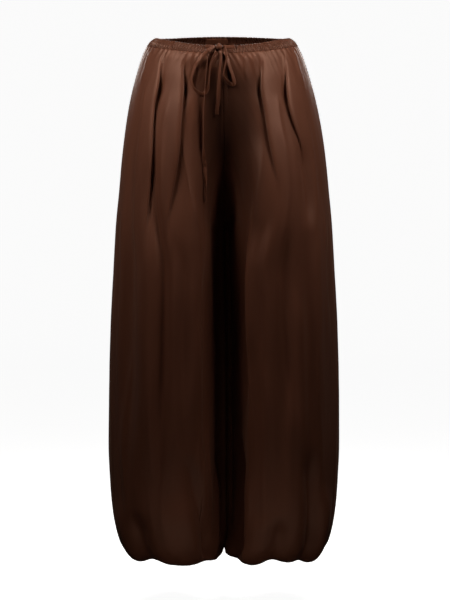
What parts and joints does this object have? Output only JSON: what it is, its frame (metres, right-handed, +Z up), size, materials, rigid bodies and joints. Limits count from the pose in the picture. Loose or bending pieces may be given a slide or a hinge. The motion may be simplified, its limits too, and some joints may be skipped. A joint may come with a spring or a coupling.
{
  "type": "balloon trousers",
  "caption": "Dark brown satin balloon trousers with front pleats, a gathered waistband tied with a bow, and rounded hems held in at the ankles.",
  "frame": {"origin": "middle of the waistband ring, at about mid height of the band at the sides", "axes": "+Z up, -Y the front of the garment, +X the wearer's left"},
  "size_m": [0.454, 0.3009, 1.028],
  "materials": {
    "satin": "smooth satin with a soft sheen",
    "waistband_satin": "gathered satin over elastic",
    "hem_satin": "gathered satin over elastic",
    "tie_satin": "folded satin strip",
    "label_weave": "plain weave, bare"
  },
  "bodies": {
    "root": {"front_left": "satin", "front_right": "satin", "back_left": "satin", "back_right": "satin", "waistband": "waistband_satin", "hem_band_left": "hem_satin", "hem_band_right": "hem_satin", "label": "label_weave", "tie_knot": "tie_satin", "tie_lead_left": "tie_satin", "tie_lead_right": "tie_satin", "tie_loop_left": "tie_satin", "tie_loop_right": "tie_satin", "tie_tail_long": "tie_satin", "tie_tail_short": "tie_satin"}
  },
  "joints": []
}
